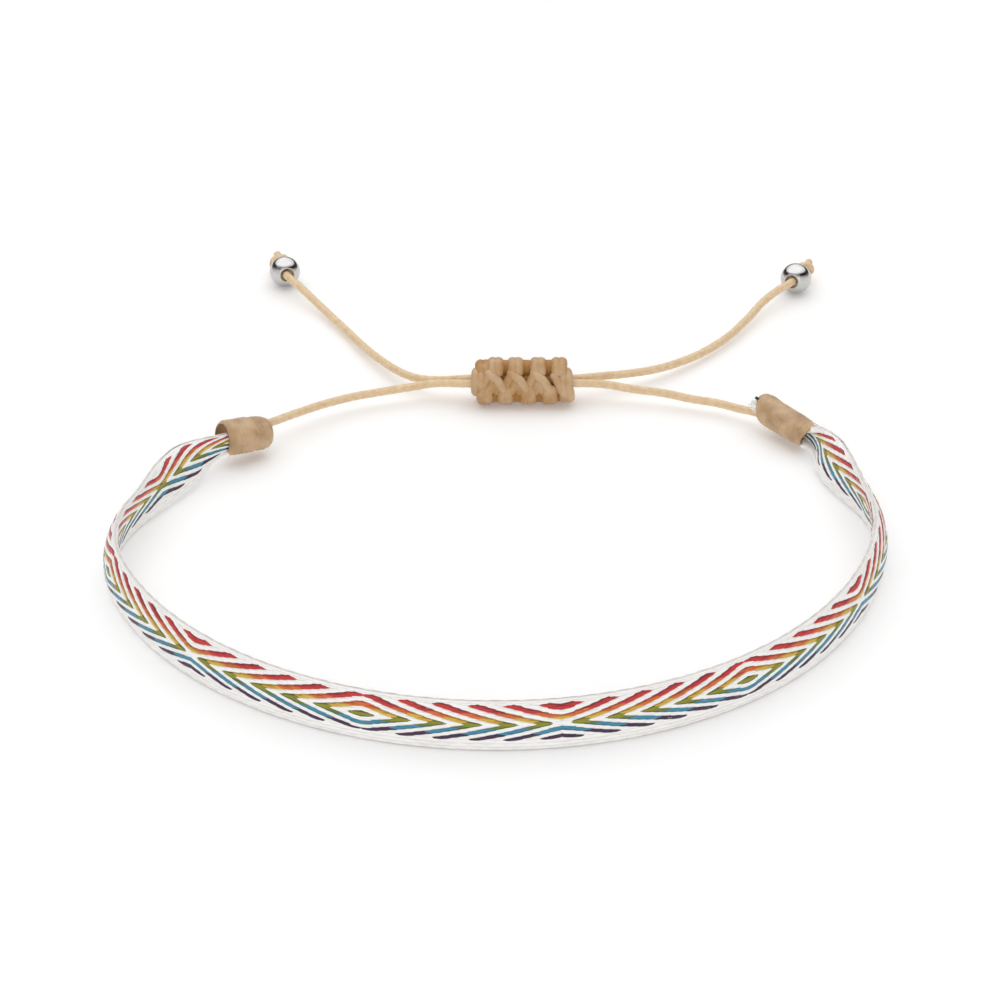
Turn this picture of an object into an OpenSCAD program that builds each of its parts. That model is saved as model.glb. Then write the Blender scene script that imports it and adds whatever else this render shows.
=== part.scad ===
// Woven bracelet: a flat tablet-woven band with gathered ends, drawn closed by two waxed
// cords through a sliding knot, each tail ending in a steel bead and a stopper knot.
// The band stands on its edge as an open ring, as it lies on a table. Millimetres, +Z up, front of
// the ring at -Y.

/* [Woven band] */
// Height of the band as it stands on its edge
band_w = 4.3; // [3.5:0.05:6]
// How far the band leans inward towards its upper edge, in degrees
band_lean = 8; // [0:0.5:10]
// How far its last stretch before each wrap leans outward, in degrees
end_lean = 22; // [0:1:25]
// How far its lower edge is lifted there
end_lift = 0.5; // [0:0.1:0.8]
// How far the outer face crowns out between its edges
outer_crown = 0.6; // [0.2:0.05:0.9]
// How far the inner face crowns in between its edges
inner_crown = 0.15; // [0:0.05:0.4]
// Thickness of the woven edge
edge_t = 0.4; // [0.3:0.05:0.8]
// Y of the centreline at the very front of the ring
front_y = -30.4; // [-34:0.1:-28]
// Length over which each end is gathered to an oval bundle
gather_len = 5.5; // [3:0.1:7]

/* [End wraps] */
// Diameter of the left thread wrap
left_wrap_d = 3.3; // [3.2:0.1:4]
// Length of the left thread wrap
left_wrap_len = 4.8; // [4.5:0.1:6]
// Thickness of the gathered band inside the left wrap
left_bundle_t = 1.1; // [0.8:0.05:1.15]
// Height of the gathered band inside the left wrap
left_bundle_h = 2; // [1.6:0.05:2.05]
// Diameter of the right thread wrap
right_wrap_d = 2.8; // [2.7:0.1:3.4]
// Length of the right thread wrap
right_wrap_len = 5.8; // [5:0.1:7]
// Thickness of the gathered band inside the right wrap
right_bundle_t = 0.8; // [0.7:0.05:0.85]
// Height of the gathered band inside the right wrap
right_bundle_h = 2.1; // [1.5:0.05:2.15]
// How far the cut end of the band stands out of the right wrap
cut_end_len = 1.2; // [0.3:0.1:1.5]

/* [Cords] */
// Diameter of the waxed cord
cord_d = 0.8; // [0.6:0.05:0.85]
// Radius of the half twist that the two cords make inside the sliding knot
twist_r = 0.48; // [0.45:0.01:0.5]
// Diameter of the hole through the sliding knot
knot_bore_d = 1.9; // [1.85:0.05:2]

/* [Sliding knot] */
// Diameter of the knot's core
knot_core_d = 3; // [2.6:0.1:3.4]
// Diameter of each side loop
loop_d = 2.3; // [2:0.1:2.5]
// Side loops in each row
loop_count = 5; // [4:1:6]
// Distance from one side loop to the next
loop_pitch = 1.85; // [1.8:0.05:2.2]
// Distance from the knot's axis to the centre of its side loops
loop_out = 1.2; // [1:0.05:1.4]
// How far the knot leans back from upright
knot_lean = 25; // [0:1:35]

/* [Beads and stopper knots] */
// Diameter of each bead
bead_d = 3.1; // [2.8:0.1:3.4]
// Diameter of the hole through each bead
bead_bore_d = 1.2; // [1:0.05:1.4]
// Diameter of each stopper knot
stopper_d = 2.2; // [1.8:0.1:2.4]
// Length of each stopper knot along the cord
stopper_len = 1.9; // [1.6:0.1:2.2]
// Length of the trimmed end beyond each stopper knot
trim_len = 0.7; // [0.3:0.1:1]
// How far the trimmed end points up
trim_rise = 25; // [0:1:40]

/* [Hidden] */

round_fn = 64;       // facets of the drawn round surfaces
slack = 0.07;        // gap between a piece and the one that holds it
straight = 10000;    // bend radius of a stretch that runs straight
over = 1;            // how far a cutting shape runs past what it cuts

// Bends of the band from the front of the ring to each wrap's mouth, and through the wrap
LEN = 0;             // column: length along the band
BEND = 1;            // column: radius of the bend
left_run = [[42.5, 35], [11, 16], [11.1, 62], [4.7, 10.05], [10, straight]];
right_run = [[48, 34], [6.5, 19], [11.5, 240], [4.3, 10.5], [10, straight]];
lean_z = 2.6;            // height at which the leaning faces keep their places
left_end_lean_z = 2.6;   // the same on the last stretch before the left wrap
right_end_lean_z = 4.4;  // and before the right wrap
lean_turn = [15, 6];     // the lean changes between these distances from a wrap's mouth
lift_top = 1.5;          // height up to which the faces follow the lifted edge
band_ring_step = 1.5;    // distance between the band's cross-sections
section_steps = 6;       // facets of each face of the band's cross-section
bundle_edge_angle = 75;  // the bundle's outline stops this far round, so no two points meet
left_bundle_stop = 0.75; // the left bundle ends this far short of its wrap's far face
bundle_room = 0.35;      // room in the left wrap past the bundle's end

// Poses of the wraps and beads: centre, heading of the axis towards the cord's end, and its rise
CENTRE = 0;          // column: centre
HEADING = 1;         // column: heading
RISE = 2;            // column: rise
HOLE_CORD = 3;       // column: offset of a wrap's cord hole, left of the heading and up
HOLE_BAND = 4;       // column: offset of a wrap's bundle hole, left of the heading and up
left_bead = [[-21.7, 54.6, 1.55], 104, -8];
right_bead = [[30.3, 53, 1.55], 66, -8];

// Each wrap sits where its end of the band is gathered: height of its centre, its rise, its holes
left_wrap = wrap_pose(left_run, -1, left_wrap_len, 2.35, -10, [0.68, 0.6], [-0.5, -0.3]);
right_wrap = wrap_pose(right_run, 1, right_wrap_len, 1.95, 2.5, [0.43, -0.62], [-0.5, 0.05]);
cord_grip = 3.6;     // length of cord bound inside a wrap
cord_lead = 0.5;     // the cord runs straight this far out of a wrap
wrap_profile = [     // columns: place along the wrap, radius, both as shares
    [-0.5, 0.9], [-0.45, 0.96], [-0.36, 1], [0, 1.01], [0.36, 1], [0.45, 0.96], [0.5, 0.9]];

// Sliding knot
knot_at = [2.4, 29.3, 2.24];
knot_len = loop_pitch * loop_count;
core_inset = 0.5;    // the core ends this far short of each end of the knot
loop_stagger = 0.1;  // each row is shifted by this share of the pitch, the two rows opposite ways

bead_run = [-1.9, 0, 1.7, 3.2];  // cord points on a bead's axis, from before it to behind it
stopper_gap = 0.1;               // between a bead and its stopper knot
stopper_profile = [              // columns: place along the stopper knot, radius, both as shares
    [0, 0.55], [0.06, 0.82], [0.25, 0.97], [0.5, 1], [0.75, 0.97], [0.94, 0.82], [1, 0.55]];

// Free stretches of the cords, lying and sagging between what holds them
left_wrap_to_knot = [[-19.1, 23, 2.05], [-16.6, 25.4, 1.75], [-13.7, 27.3, 1.6],
                     [-10.5, 28.5, 1.6], [-8, 29.1, 1.75], [-5.7, 29.4, 1.95]];
knot_to_right_bead = [[10.3, 31.2, 1.8], [12.5, 32.2, 1.5], [15.3, 33.7, 1.2], [17.8, 35.7, 0.95],
                      [20.2, 38.1, 0.8], [22.7, 41.3, 0.8], [24.9, 45, 0.95], [26.5, 47.9, 1.25],
                      [28.1, 49.9, 1.6]];
right_wrap_to_knot = [[22.8, 25.4, 1.35], [20.8, 26.7, 1.25], [18.5, 27.4, 1.3], [15.9, 28.3, 1.45],
                      [13.1, 28.7, 1.65], [10.1, 29.2, 1.95]];
knot_to_left_bead = [[-5.7, 30.6, 1.65], [-8, 31.5, 1.45], [-10.1, 34, 1.15], [-12.7, 38.4, 0.85],
                     [-15.1, 43.2, 0.7], [-17.4, 47.3, 0.85], [-18.8, 49.4, 1.2], [-20, 51, 1.6]];
twist_steps = 4;     // stretches of the half twist inside the knot
cord_sides = 8;
cord_ring_step = 2.7;  // longest stretch between two rings of a cord's tube

function heading_dir(a, rise = 0) = [cos(a) * cos(rise), sin(a) * cos(rise), sin(rise)];
function smooth(t) = let (c = min(1, max(0, t))) c * c * (3 - 2 * c);
function total(rows, i = 0) = i == len(rows) ? 0 : rows[i][LEN] + total(rows, i + 1);

// Steps along one bend from [x, y, heading]; side is 1 for a left turn and -1 for a right turn
function along_bend(at, s, r, side) = let (turn = side * s / r * 180 / PI)
    [at.x + side * r * (sin(at.z + turn) - sin(at.z)), at.y - side * r * (cos(at.z + turn) - cos(at.z)),
     at.z + turn];
function along_run(run, s, at, side, i = 0) =
    s <= run[i][LEN] || i == len(run) - 1 ? along_bend(at, s, run[i][BEND], side)
    : along_run(run, s - run[i][LEN], along_bend(at, run[i][LEN], run[i][BEND], side), side, i + 1);

// Outline of the band's cross-section as [outward, up] about its reference line; gathered is 0 on
// the flat band and 1 on the oval bundle, whose size is [thickness, height] and whose centre is at z
function face_share(i) = -cos(i * 180 / section_steps);
function band_face(u, crown, edge, lean) =
    let (flat_z = band_w * (1 + u) / 2, z = flat_z + lean[2] * max(0, 1 - flat_z / lift_top))
    [edge + (edge < 0 ? -1 : 1) * crown * (1 - u * u) + lean[0] - lean[1] * z, z];
function bundle_face(u, size, out, z) = let (a = u * bundle_edge_angle)
    [out * size[0] / 2 * cos(a) - edge_t / 2, z + size[1] / 2 * sin(a)];
function section(gathered, size, z, lean) = concat(
    [for (i = [0:section_steps]) let (u = face_share(i))
        band_face(u, outer_crown, 0, lean) * (1 - gathered) + bundle_face(u, size, 1, z) * gathered],
    [for (i = [section_steps:-1:0]) let (u = face_share(i))
        band_face(u, inner_crown, -edge_t, lean) * (1 - gathered)
        + bundle_face(u, size, -1, z) * gathered]);

// Lean at a distance past a wrap's mouth: how far out the faces stand at the floor, how much of that
// they lose with each unit of height, and the lift of the lower edge
function lean_at(past, end_z) =
    let (t = smooth((past + lean_turn[0]) / (lean_turn[0] - lean_turn[1])))
    concat([lean_z, 1] * tan(band_lean) * (1 - t) - [end_z, 1] * tan(end_lean) * t, [end_lift * t]);

// Place and heading at a distance s from the front; side is 1 for the right run, -1 for the left
function run_point(run, side, s) = along_run(run, s, [0, front_y, side > 0 ? 0 : 180], side);
function outward(side, heading) = [side * sin(heading), -side * cos(heading)];
function mouth(run) = total(run) - run[len(run) - 1][LEN];

// Pose of the wrap whose bundle hole opens at the run's mouth and follows its last stretch
function wrap_pose(run, side, wrap_len, z, rise, hole_cord, hole_band) =
    let (at = run_point(run, side, mouth(run)),
         plan = [at.x, at.y] - outward(side, at.z) * edge_t / 2
                + [cos(at.z), sin(at.z)] * (wrap_len / 2 * cos(rise) + hole_band[1] * sin(rise))
                - [-sin(at.z), cos(at.z)] * hole_band[0])
    [[plan.x, plan.y, z], at.z, rise, hole_cord, hole_band];

// Bundle's height at a plan distance s past the wrap's mouth, on the wrap's slope
function bundle_z(wrap, wrap_len, s) =
    wrap[CENTRE].z - wrap_len / 2 * sin(wrap[RISE]) + wrap[HOLE_BAND][1] * cos(wrap[RISE])
    + s * tan(wrap[RISE]);
function band_section(run, side, s, wrap, wrap_len, size, end_z) =
    let (at = run_point(run, side, s),
         past = s - mouth(run),
         gathered = smooth(1 + past / gather_len),
         out = outward(side, at.z))
    [for (p = section(gathered, size, bundle_z(wrap, wrap_len, max(0, past)), lean_at(past, end_z)))
        [at.x + out.x * p[0], at.y + out.y * p[0], p[1]]];

// Distances of the cross-sections along a run, with one of them at the mouth
function even_steps(a, b) = let (n = ceil((b - a) / band_ring_step)) [for (i = [0:n]) a + (b - a) * i / n];
function stations(run, s_end) = let (before = even_steps(0, mouth(run)))
    concat([for (i = [0:len(before) - 2]) before[i]], even_steps(mouth(run), s_end));

// Closed skin over rings of equal point counts, each ring running the same way round
function skin_faces(rings, sides) = concat(
    [[for (j = [sides - 1:-1:0]) j]],
    [for (i = [0:rings - 2]) for (j = [0:sides - 1]) let (k = (j + 1) % sides)
        each [[i * sides + j, i * sides + k, (i + 1) * sides + k],
              [i * sides + j, (i + 1) * sides + k, (i + 1) * sides + j]]],
    [[for (j = [0:sides - 1]) (rings - 1) * sides + j]]);

module woven_band() {
    left_end = mouth(left_run) + left_wrap_len - left_bundle_stop;
    right_end = mouth(right_run) + right_wrap_len + cut_end_len;
    left_s = stations(left_run, left_end);
    right_s = stations(right_run, right_end);
    rings = concat(
        [for (i = [len(left_s) - 1:-1:1])
            band_section(left_run, -1, left_s[i], left_wrap, left_wrap_len,
                         [left_bundle_t, left_bundle_h], left_end_lean_z)],
        [for (s = right_s)
            band_section(right_run, 1, s, right_wrap, right_wrap_len,
                         [right_bundle_t, right_bundle_h], right_end_lean_z)]);
    color("whitesmoke")
        polyhedron([for (ring = rings) each ring], skin_faces(len(rings), 2 * (section_steps + 1)));
}

module at_pose(pose) {
    translate(pose[CENTRE]) rotate([0, -pose[RISE], pose[HEADING]]) children();
}

module along_x(offset, start) {
    translate([start, offset[0], offset[1]]) rotate([0, 90, 0]) children();
}

// Barrel of wound thread with a hole for the band's bundle and one for the cord beside it
module end_wrap(wrap, wrap_d, wrap_len, bundle_t, bundle_h, bundle_hole_len) {
    color("burlywood") at_pose(wrap) difference() {
        rotate([0, 90, 0]) rotate_extrude($fn = round_fn)
            polygon(concat([[0, -wrap_len / 2]],
                           [for (p = wrap_profile) [p[1] * wrap_d / 2, p[0] * wrap_len]],
                           [[0, wrap_len / 2]]));
        along_x(wrap[HOLE_BAND], -wrap_len / 2 - over)
            linear_extrude(bundle_hole_len + over)
                scale([bundle_h / 2 + slack, bundle_t / 2 + slack]) circle(r = 1, $fn = round_fn);
        along_x(wrap[HOLE_CORD], wrap_len / 2 - cord_grip - slack)
            cylinder(d = cord_d + 2 * slack, h = cord_grip + over, $fn = round_fn);
    }
}

module end_wrap_left() {
    end_wrap(left_wrap, left_wrap_d, left_wrap_len, left_bundle_t, left_bundle_h,
             left_wrap_len - left_bundle_stop + bundle_room);
}

module end_wrap_right() {
    end_wrap(right_wrap, right_wrap_d, right_wrap_len, right_bundle_t, right_bundle_h,
             right_wrap_len + over);
}

// Sinnet of square knots: a core with a staggered row of loops along each edge
module sliding_knot() {
    color("tan") translate(knot_at) rotate([-knot_lean, 0, 0]) difference() {
        union() {
            along_x([0, 0], -knot_len / 2 + core_inset)
                cylinder(d = knot_core_d, h = knot_len - 2 * core_inset, $fn = round_fn);
            for (row = [-1, 1], i = [0:loop_count - 1])
                translate([(i - (loop_count - 1) / 2 - row * loop_stagger) * loop_pitch,
                           0, row * loop_out])
                    sphere(d = loop_d, $fn = round_fn);
        }
        along_x([0, 0], -knot_len) cylinder(d = knot_bore_d, h = 2 * knot_len, $fn = round_fn);
    }
}

// Points on a wrap's cord hole, from the bound end to a little past the wrap's face
function wrap_cord(wrap, wrap_len) =
    let (d = heading_dir(wrap[HEADING], wrap[RISE]), left = heading_dir(wrap[HEADING] + 90),
         up = cross(d, left))
    [for (s = [wrap_len / 2 - cord_grip, (wrap_len - cord_grip) / 2, wrap_len / 2 + cord_lead])
        wrap[CENTRE] + d * s + left * wrap[HOLE_CORD][0] + up * wrap[HOLE_CORD][1]];
function bead_cord(bead) =
    [for (s = bead_run) bead[CENTRE] + heading_dir(bead[HEADING], bead[RISE]) * s];

// Half twist through the sliding knot, walked towards +X; with phase 0 the cord starts on the near
// side, with phase 180 on the far side
function knot_twist(phase) = [for (i = [0:twist_steps])
    let (share = i / twist_steps, a = phase + 180 * share)
    [knot_at.x + (share - 0.5) * knot_len, knot_at.y - twist_r * cos(a), knot_at.z + twist_r * sin(a)]];

function reversed(points) = [for (i = [len(points) - 1:-1:0]) points[i]];
left_cord_route = concat(wrap_cord(left_wrap, left_wrap_len), left_wrap_to_knot, knot_twist(0),
                         knot_to_right_bead, bead_cord(right_bead));
right_cord_route = concat(wrap_cord(right_wrap, right_wrap_len), right_wrap_to_knot,
                          reversed(knot_twist(180)), knot_to_left_bead, bead_cord(left_bead));

// Smooth curve through a route's points, and the tube swept along it
function curve_point(p, i, t) = let (a = p[max(0, i - 1)], b = p[i], c = p[i + 1],
                                     d = p[min(len(p) - 1, i + 2)])
    b + ((c - a) * t + (2 * a - 5 * b + 4 * c - d) * t * t + (3 * b - a - 3 * c + d) * t * t * t) / 2;
function curve(p) = concat(
    [for (i = [0:len(p) - 2]) let (n = ceil(norm(p[i + 1] - p[i]) / cord_ring_step))
        for (k = [0:n - 1]) curve_point(p, i, k / n)],
    [p[len(p) - 1]]);
function unit(v) = v / norm(v);
function tube_ring(path, i) =
    let (d = unit(path[min(i + 1, len(path) - 1)] - path[max(i - 1, 0)]),
         side = unit(cross(d, [0, 0, 1])), up = cross(side, d))
    [for (k = [0:cord_sides - 1]) let (a = 360 * (k + 0.5) / cord_sides)
        path[i] + cord_d / 2 * (side * cos(a) + up * sin(a))];

module cord(route) {
    path = curve(route);
    color("wheat") polyhedron([for (i = [0:len(path) - 1]) each tube_ring(path, i)],
                              skin_faces(len(path), cord_sides));
}

module cord_left() { cord(left_cord_route); }
module cord_right() { cord(right_cord_route); }

module bead(bead) {
    color("lightgray") at_pose(bead) along_x([0, 0], 0) rotate_extrude($fn = round_fn)
        intersection() {
            circle(d = bead_d, $fn = round_fn);
            translate([bead_bore_d / 2, -bead_d]) square([bead_d, 2 * bead_d]);
        }
}

module bead_left() { bead(left_bead); }
module bead_right() { bead(right_bead); }

// Knot tied in the cord's end behind a bead: the cord runs into its hole and stops there
module stopper_knot(bead) {
    near = bead_d / 2 + stopper_gap;
    hole_end = bead_run[len(bead_run) - 1] + slack;
    color("burlywood") at_pose(bead) difference() {
        union() {
            along_x([0, 0], near) rotate_extrude($fn = round_fn) polygon(concat(
                [[0, 0]],
                [for (p = stopper_profile) [p[1] * stopper_d / 2, p[0] * stopper_len]],
                [[0, stopper_len]]));
            translate([near + stopper_len / 2, 0, 0]) rotate([0, -trim_rise, 0])
                along_x([0, 0], 0) cylinder(d = cord_d, h = stopper_len / 2 + trim_len, $fn = round_fn);
        }
        along_x([0, 0], near - over)
            cylinder(d = cord_d + 2 * slack, h = hole_end - near + over, $fn = round_fn);
    }
}

module stopper_knot_left() { stopper_knot(left_bead); }
module stopper_knot_right() { stopper_knot(right_bead); }

woven_band();
end_wrap_left();
end_wrap_right();
sliding_knot();
cord_left();
cord_right();
bead_left();
bead_right();
stopper_knot_left();
stopper_knot_right();
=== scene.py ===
import math
import bpy
import numpy as np
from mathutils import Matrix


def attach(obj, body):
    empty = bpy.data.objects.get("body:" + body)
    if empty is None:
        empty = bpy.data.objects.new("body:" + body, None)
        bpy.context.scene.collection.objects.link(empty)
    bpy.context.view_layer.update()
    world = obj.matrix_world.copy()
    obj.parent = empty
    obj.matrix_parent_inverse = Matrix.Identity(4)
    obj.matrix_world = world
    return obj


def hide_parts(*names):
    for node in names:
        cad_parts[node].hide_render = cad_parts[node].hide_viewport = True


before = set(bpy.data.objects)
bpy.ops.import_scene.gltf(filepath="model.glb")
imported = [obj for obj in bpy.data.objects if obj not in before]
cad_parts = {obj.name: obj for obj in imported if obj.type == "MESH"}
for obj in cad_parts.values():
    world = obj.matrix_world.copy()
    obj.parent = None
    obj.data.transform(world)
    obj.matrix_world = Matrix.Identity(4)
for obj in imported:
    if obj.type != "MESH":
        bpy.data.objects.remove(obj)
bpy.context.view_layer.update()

mm = 0.001                       # every length below is in millimetres until a mesh is made
chance = np.random.default_rng(11)


# small helpers: colour, nodes, meshes

def linearColour(hexCode):       # sRGB hex to the linear colour that the shaders want
    parts = [int(hexCode[i:i + 2], 16) / 255 for i in (1, 3, 5)]
    return [p / 12.92 if p <= 0.04045 else ((p + 0.055) / 1.055) ** 2.4 for p in parts] + [1.0]


def addNode(tree, kind, values=None, links=None, **settings):
    node = tree.nodes.new("ShaderNode" + kind)
    for name, value in settings.items():
        setattr(node, name, value)
    for socket, value in (values or {}).items():
        node.inputs[socket].default_value = value
    for socket, source in (links or {}).items():
        tree.links.new(source, node.inputs[socket])
    return node


def startMaterial(name):
    material = bpy.data.materials.new(name)
    material.use_nodes = True
    material.node_tree.nodes.clear()
    return material, material.node_tree


def finishMaterial(tree, shader, colour=None, bump=None):
    if colour:
        tree.links.new(colour, shader.inputs["Base Color"])
    if bump:
        tree.links.new(bump.outputs["Normal"], shader.inputs["Normal"])
    addNode(tree, "OutputMaterial", links={"Surface": shader.outputs["BSDF"]})


def buildMesh(name, blocks, material, nodes):
    # each block is an array (strands, rings, sides, 3) with its lengths along, its width and shades
    points, faces, uvs, shades = [], [], [], []
    base = 0
    for block in blocks:
        grid = np.asarray(block["points"], float)
        count, rings, sides, _ = grid.shape
        closed = block.get("closed", True)
        lastSide = sides if closed else sides - 1
        i, j = np.meshgrid(np.arange(rings - 1), np.arange(lastSide), indexing="ij")
        i, j = i.ravel(), j.ravel()
        k = (j + 1) % sides
        quad = np.stack([i * sides + j, i * sides + k, (i + 1) * sides + k, (i + 1) * sides + j], 1)
        ring = np.stack([i, i, i + 1, i + 1], 1)
        side = np.stack([j, j + 1, j + 1, j], 1)
        if block.get("flip"):
            quad, ring, side = quad[:, ::-1], ring[:, ::-1], side[:, ::-1]
        offsets = base + np.arange(count)[:, None, None] * rings * sides
        faces.append((quad[None] + offsets).reshape(-1, 4))
        along = np.broadcast_to(block["along"], (count, rings))
        u = along[:, ring]
        v = np.broadcast_to(side * (block["across"] / lastSide), u.shape)
        v = block["across"] - v if block.get("mirror") else v
        uvs.append(np.stack([u, v], -1).reshape(-1, 2))
        shade = np.broadcast_to(block.get("shade", 0.5), (count,))
        shades.append(np.repeat(shade, rings * sides))
        points.append(grid.reshape(-1, 3) * mm)
        base += count * rings * sides
    mesh = bpy.data.meshes.new(name)
    mesh.from_pydata(np.concatenate(points).tolist(), [], np.concatenate(faces).tolist())
    layer = mesh.uv_layers.new(name="strandLength")
    layer.data.foreach_set("uv", np.concatenate(uvs).ravel())
    tone = mesh.attributes.new("strandShade", "FLOAT", "POINT")
    tone.data.foreach_set("value", np.concatenate(shades))
    mesh.polygons.foreach_set("use_smooth", [True] * len(mesh.polygons))
    mesh.materials.append(material)
    mesh.update()
    piece = bpy.data.objects.new(name, mesh)
    bpy.context.collection.objects.link(piece)
    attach(piece, "root")
    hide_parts(*nodes)
    print(name, len(mesh.polygons) * 2, "triangles")
    return piece


def easeIn(t):                   # 0 to 1 with a soft start and stop
    t = np.clip(t, 0, 1)
    return t * t * (3 - 2 * t)


def unit(v):
    return v / np.maximum(np.linalg.norm(v, axis=-1, keepdims=True), 1e-9)


def heading(angle, rise=0):      # degrees to a direction
    a, r = math.radians(angle), math.radians(rise)
    return np.array([math.cos(a) * math.cos(r), math.sin(a) * math.cos(r), math.sin(r)])


def smoothRoute(points, step):   # the same curve through its points as the CAD cords follow
    p = np.asarray(points, float)
    out = []
    for i in range(len(p) - 1):
        a, b, c, d = p[max(0, i - 1)], p[i], p[i + 1], p[min(len(p) - 1, i + 2)]
        n = max(1, math.ceil(np.linalg.norm(c - b) / step))
        for t in np.arange(n) / n:
            out.append(b + ((c - a) * t + (2 * a - 5 * b + 4 * c - d) * t ** 2
                            + (3 * b - a - 3 * c + d) * t ** 3) / 2)
    out.append(p[-1])
    return np.array(out)


def strandTube(path, radius, sides=10, plies=0, plyDepth=0.0, layLength=2.0):
    # a round strand along a path, with shallow spiral grooves where its plies meet
    path = np.asarray(path, float)
    along = np.concatenate([[0], np.cumsum(np.linalg.norm(np.diff(path, axis=0), axis=1))])
    tangent = unit(np.gradient(path, axis=0))
    side = unit(np.cross(tangent[0], [0.03, 0.05, 1.0]))
    normals = []
    for t in tangent:
        side = unit(side - t * np.dot(side, t))
        normals.append(side)
    normals = np.array(normals)
    binormals = np.cross(tangent, normals)
    angle = np.arange(sides) * 2 * np.pi / sides
    r = np.broadcast_to(radius, (len(path),))[:, None] * np.ones((1, sides))
    if plies:
        turn = along[:, None] * 2 * np.pi / layLength
        r = r * (1 - plyDepth * (1 - np.abs(np.sin(plies * (angle[None] - turn) / 2))) ** 2)
    grid = (path[:, None] + r[..., None] * (np.cos(angle)[None, :, None] * normals[:, None]
                                            + np.sin(angle)[None, :, None] * binormals[:, None]))
    return {"points": grid[None], "along": along[None], "across": 2 * np.pi * float(np.max(radius))}


def roundedEnds(path, radius, grow=1.0):    # radii that close a strand's two ends like a dome
    along = np.concatenate([[0], np.cumsum(np.linalg.norm(np.diff(path, axis=0), axis=1))])
    near = np.minimum(along, along[-1] - along) / (radius * grow)
    return radius * np.sqrt(np.clip(1 - (1 - np.clip(near, 0, 1)) ** 2, 0.0004, 1))


# camera, where the photograph was taken from

cameraSpot = {"lookAt": (0.25, 5.7, 2.6), "distance": 314, "elevation": 29.7, "lens": 126}

tilt = math.radians(cameraSpot["elevation"])
lookAt = np.array(cameraSpot["lookAt"])
cameraData = bpy.data.cameras.new("tableCamera")
cameraData.lens = cameraSpot["lens"]
cameraData.sensor_width = 36
cameraData.clip_start, cameraData.clip_end = 0.01, 20
tableCamera = bpy.data.objects.new("tableCamera", cameraData)
tableCamera.location = (lookAt + cameraSpot["distance"] * np.array([0, -math.cos(tilt), math.sin(tilt)])) * mm
tableCamera.rotation_euler = (math.pi / 2 - tilt, 0, 0)
bpy.context.collection.objects.link(tableCamera)
bpy.context.scene.camera = tableCamera


# the woven band's line on the table, and the wraps that stand at its two mouths

band = {
    "width": 4.3, "outerCrown": 0.6, "innerCrown": 0.15, "edge": 0.4, "frontY": -30.4,
    "gather": {-1: (4.6, 6), 1: (5, 7)},      # length over which each edge draws in, lower then upper
    "lean": 8, "leanHeight": 2.6,
    "endLean": 22, "endLeanHeight": {-1: 2.6, 1: 4.4}, "leanTurn": (15, 6),    # it tips out before the wraps
    "endLift": 0.5, "liftTop": 1.5, "selvedgeRound": 0.09,
    "endCurl": 0.5, "endDip": 0.35, "curlFrom": 0.55,     # near the wraps the upper edge curls out and down
    "bundleArc": 75,              # the gathered band's faces span this many degrees each way
    "leftRun": [(42.5, 35), (11, 16), (11.1, 62), (4.7, 10.05), (10, 10000)],
    "rightRun": [(48, 34), (6.5, 19), (11.5, 240), (4.3, 10.5), (10, 10000)],
    "leftBundle": (1.1, 2), "rightBundle": (0.8, 2.3), "cutEnd": 1.2, "leftStop": 0.75,
}


def runPoint(run, side, s):      # x, y and heading at a distance s from the ring's front
    x, y, turn = 0.0, band["frontY"], 0.0 if side > 0 else math.pi
    for i, (length, radius) in enumerate(run):
        part = s if i == len(run) - 1 or s <= length else length
        swing = side * part / radius
        x += side * radius * (math.sin(turn + swing) - math.sin(turn))
        y -= side * radius * (math.cos(turn + swing) - math.cos(turn))
        turn += swing
        s -= part
        if s <= 0:
            break
    return x, y, turn


def mouthOf(run):
    return sum(length for length, radius in run[:-1])


wraps = {         # holes are left and up from the wrap's middle, seen from the band's mouth
    -1: {"length": 4.8, "height": 2.35, "rise": -10, "cordHole": (0.68, 0.6), "bandHole": (-0.5, -0.3)},
    1: {"length": 5.8, "height": 1.95, "rise": 2.5, "cordHole": (0.43, -0.62), "bandHole": (-0.5, 0.05)},
}


def wrapPose(run, side, length, height, rise, cordHole, bandHole):
    x, y, turn = runPoint(run, side, mouthOf(run))
    ahead = np.array([math.cos(turn), math.sin(turn)])
    left = np.array([-math.sin(turn), math.cos(turn)])
    out = np.array([side * math.sin(turn), -side * math.cos(turn)])
    tip = math.radians(rise)
    plan = (np.array([x, y]) - out * band["edge"] / 2 - left * bandHole[0]
            + ahead * (length / 2 * math.cos(tip) + bandHole[1] * math.sin(tip)))
    return {"centre": np.array([plan[0], plan[1], height]), "heading": math.degrees(turn), "rise": rise,
            "length": length, "cordHole": cordHole, "bandHole": bandHole}


leftWrap = wrapPose(band["leftRun"], -1, **wraps[-1])
rightWrap = wrapPose(band["rightRun"], 1, **wraps[1])


def wrapAxes(wrap):
    ahead = heading(wrap["heading"], wrap["rise"])
    left = heading(wrap["heading"] + 90)
    return ahead, left, np.cross(ahead, left)


# waxed cords: each leaves a wrap, crosses the other inside the sliding knot and ends at a bead

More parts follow.
